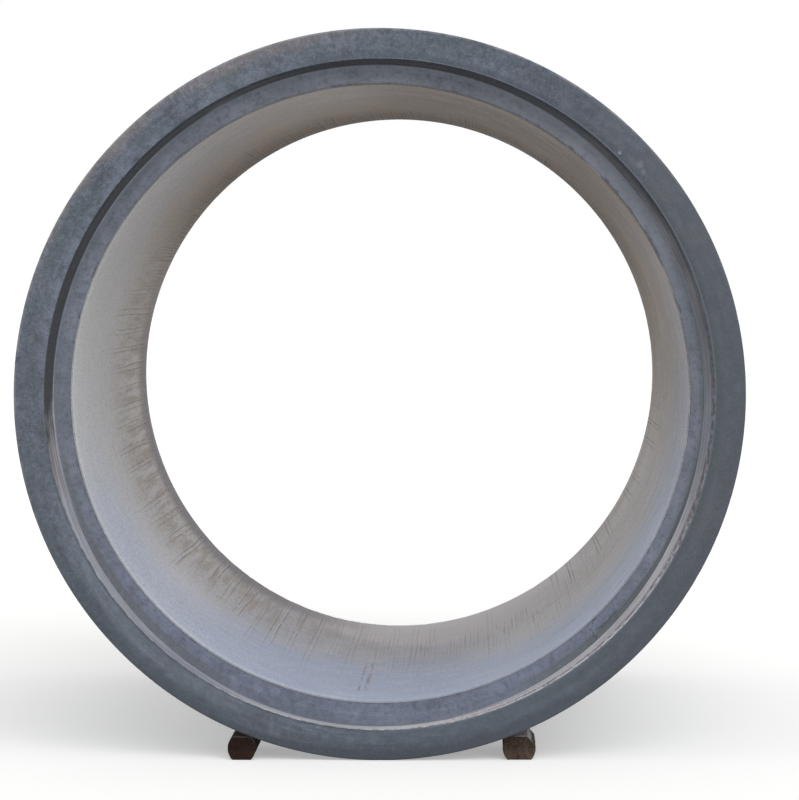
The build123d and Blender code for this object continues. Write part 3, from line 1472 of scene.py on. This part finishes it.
@dataclass
class Chock:
    """A short cut-off of round timber, sawn flat above and below."""

    side: Side
    finish: TimberFinish
    split_width: float = 0.0
    split_height: float = 0.022
    split_off_middle: float = 0.004
    split_rise: float = 0.0015
    split_length: float = 18.0
    corner_cut: float = 0.0
    bulge: float = 0.014
    edge: float = 0.011
    divisions: int = 16
    end_depth: float = 0.004
    smooth_below: float = 35

    def build(self) -> bpy.types.Object:
        """Model and dress the chock inside its solid's box.

        Returns:
            The finished object.
        """
        low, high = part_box(self.side.value)
        middle, size = (low + high) / 2, high - low
        shape = self.log(middle, size)
        self.saw(shape, middle, size)
        if self.split_width:
            self.split(shape, middle, low)
        shape.thing.data.materials.append(self.finish.grain())
        shape.thing.data.materials.append(self.finish.end())
        for face in shape.thing.data.polygons:
            at_end = abs(face.center.y - middle.y) > size.y / 2 - self.end_depth
            face.material_index = int(abs(face.normal.y) > 0.8 and at_end)
        shape.smooth(self.smooth_below)
        return shape.thing

    def log(self, middle: Vector, size: Vector) -> Shape:
        """Start from a round log, pressed to the oval whose sides have the right bulge.

        Args:
            middle: The middle of the chock's box.
            size: The box's size.

        Returns:
            The log.
        """
        half_width = size.x / 2
        tall = size.z / 2 / math.sqrt(1 - ((half_width - self.bulge) / half_width) ** 2)
        start_fresh()
        bpy.ops.mesh.primitive_cylinder_add(
            vertices=72, radius=half_width, depth=size.y, location=middle, rotation=(math.pi / 2, 0, 0)
        )
        shape = Shape("timber_" + self.side.value)
        shape.settle()
        with shape.editing():
            bpy.ops.transform.resize(value=(1, 1, tall / half_width), center_override=middle)
        return shape

    def saw(self, shape: Shape, middle: Vector, size: Vector) -> None:
        """Saw the log flat above and below, round its edges and divide it along the grain.

        Args:
            shape: The log.
            middle: The middle of the chock's box.
            size: The box's size.
        """
        for sign in (-1, 1):
            shape.cut(middle + Vector((0, 0, sign * size.z / 2)), (0, 0, sign), away=True)
        if self.corner_cut:
            shape.cut(middle + Vector((size.x / 2 - self.corner_cut, 0, size.z / 2)), (1, 0, 0.8), away=True)
        shape.modify(
            "BEVEL", width=self.edge, segments=3, limit_method="ANGLE", angle_limit=math.radians(28)
        )
        for step in range(1, self.divisions):
            shape.cut((0, middle.y + size.y * (step / self.divisions - 0.5), 0), (0, 1, 0))
        everywhere = np.ones(len(shape.thing.data.vertices))
        group = shape.weigh(self.side.value + "_waney", everywhere)
        shape.wear(group, depth=0.0012, grain=0.05, start=0.35, full=0.75)
        shape.thing.vertex_groups.clear()

    def split(self, shape: Shape, middle: Vector, low: Vector) -> None:
        """Open a drying split in the front end, up from the bottom.

        Args:
            shape: The chock.
            middle: The middle of its box.
            low: The box's lowest corner.
        """
        across = middle.x - self.split_off_middle
        height = low.z + self.split_height / 2 + self.split_rise
        start_fresh()
        bpy.ops.mesh.primitive_cone_add(
            vertices=4, radius1=self.split_width, radius2=0.0002, depth=self.split_height,
            location=(across, low.y, height),
        )
        wedge = Shape("split_wedge")
        wedge.settle()
        with wedge.editing():
            bpy.ops.transform.resize(value=(1, self.split_length, 1), center_override=(middle.x, low.y, 0))
        start_fresh()
        shape.thing.select_set(True)
        bpy.context.view_layer.objects.active = shape.thing
        shape.modify("BOOLEAN", object=wedge.thing, operation="DIFFERENCE", solver="EXACT")
        bpy.data.objects.remove(wedge.thing)


# The studio


@dataclass
class Studio:
    """A pale floor, soft plain light and the camera."""

    floor_size: float = 400.0
    floor_colour: Colour = (0.80, 0.80, 0.79, 1.0)
    floor_glow: float = 0.36
    sky_strength: float = 0.62
    shown_white: float = 1.0
    key_strength: float = 1.35
    key_softness: float = 50.0
    key_direction: Triple = (-0.34, 1.0, -0.72)
    camera_place: Triple = (0.309, -12.173, 1.419)
    focal_pixels: float = 3721.0
    image_width: int = 799
    sensor_width: float = 36.0
    turn_left: float = 1.307
    tilt_down: float = 1.880

    def build(self) -> None:
        """Set everything up."""
        self.floor()
        self.sky()
        self.key()
        self.camera()
        bpy.context.scene.view_settings.view_transform = "Standard"

    def seen_directly(self, graph: Graph, strength: float, shown: float) -> Value:
        """Choose between two strengths by what looks at a surface.

        Args:
            graph: The node tree.
            strength: What lights the scene.
            shown: What the camera and reflections see.

        Returns:
            The strength.
        """
        path = graph.node("ShaderNodeLightPath")
        rays = ("Is Camera Ray", "Is Glossy Ray", "Is Transmission Ray")
        camera, glossy, through = (Value(graph, path.outputs[ray]) for ray in rays)
        return camera.larger(glossy).larger(through) * (shown - strength) + strength

    def floor(self) -> None:
        """Lay the floor."""
        start_fresh()
        bpy.ops.mesh.primitive_plane_add(size=self.floor_size, location=(0, 0, 0))
        floor = bpy.context.object
        floor.name = "studio_floor"
        graph = Graph.of_material("pale_floor")
        plain = graph.node("ShaderNodeBsdfPrincipled", inputs={
            "Base Color": self.floor_colour, "Roughness": 0.9, "Specular IOR Level": 0.1,
            "Emission Color": self.seen_directly(graph, 0.0, self.floor_glow), "Emission Strength": 1.0,
        })
        graph.node("ShaderNodeOutputMaterial", inputs={"Surface": plain.outputs[0]})
        floor.data.materials.append(graph.owner)

    def sky(self) -> None:
        """Light the scene evenly from all round, and show white."""
        world = bpy.data.worlds.new("studio_white")
        bpy.context.scene.world = world
        graph = Graph(world)
        background = graph.node("ShaderNodeBackground", inputs={
            "Color": self.seen_directly(graph, self.sky_strength, self.shown_white), "Strength": 1.0,
        })
        graph.node("ShaderNodeOutputWorld", inputs={"Surface": background.outputs[0]})

    def key(self) -> None:
        """Add a wide soft light from the upper right, in front."""
        start_fresh()
        bpy.ops.object.light_add(type="SUN", location=(6, -10, 8))
        lamp = bpy.context.object
        lamp.name = "key_light"
        lamp.data.energy = self.key_strength
        lamp.data.angle = math.radians(self.key_softness)
        lamp.rotation_euler = Vector(self.key_direction).to_track_quat("-Z", "Y").to_euler()

    def camera(self) -> None:
        """Place the camera where the picture was taken from."""
        bpy.ops.object.camera_add(location=self.camera_place)
        camera = bpy.context.object
        camera.name = "view_camera"
        camera.rotation_euler = (math.radians(90 - self.tilt_down), 0, math.radians(self.turn_left))
        camera.data.sensor_fit = "HORIZONTAL"
        camera.data.sensor_width = self.sensor_width
        camera.data.lens = self.focal_pixels * self.sensor_width / self.image_width
        camera.data.clip_end = 1000
        bpy.context.scene.camera = camera


def main() -> None:
    """Build the pipe, the chocks and the studio, and report each piece."""
    logging.basicConfig(level=logging.INFO, format="%(name)s: %(message)s")
    # The left chock's top colour is dark, painted shade; the right one's is lightened, painted light.
    reddish = TimberFinish(
        "red_timber", body=srgb(42, 27, 23), pale=srgb(58, 41, 36), deep=srgb(24, 16, 14),
        silver_and_painted_light=srgb(84, 76, 74), heart=(-0.399, 0.030),
    )
    brown = TimberFinish(
        "brown_timber", body=srgb(69, 56, 49), pale=srgb(101, 86, 77), deep=srgb(40, 32, 27),
        silver_and_painted_light=srgb(186, 183, 184), heart=(0.420, 0.036),
    )
    makers = {
        "pipe": (PipeCasting(), "concrete"),
        "left_chock": (Chock(Side.LEFT, reddish), "timber"),
        "right_chock": (Chock(Side.RIGHT, brown, split_width=0.0018, corner_cut=0.024), "timber"),
    }
    for node, (maker, slot) in makers.items():
        piece = maker.build()
        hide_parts(node)
        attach(piece, "root")
        log.info("%s: %d faces, stands for %s", piece.name, len(piece.data.polygons), node)
    Studio().build()


if __name__ == "__main__":
    main()
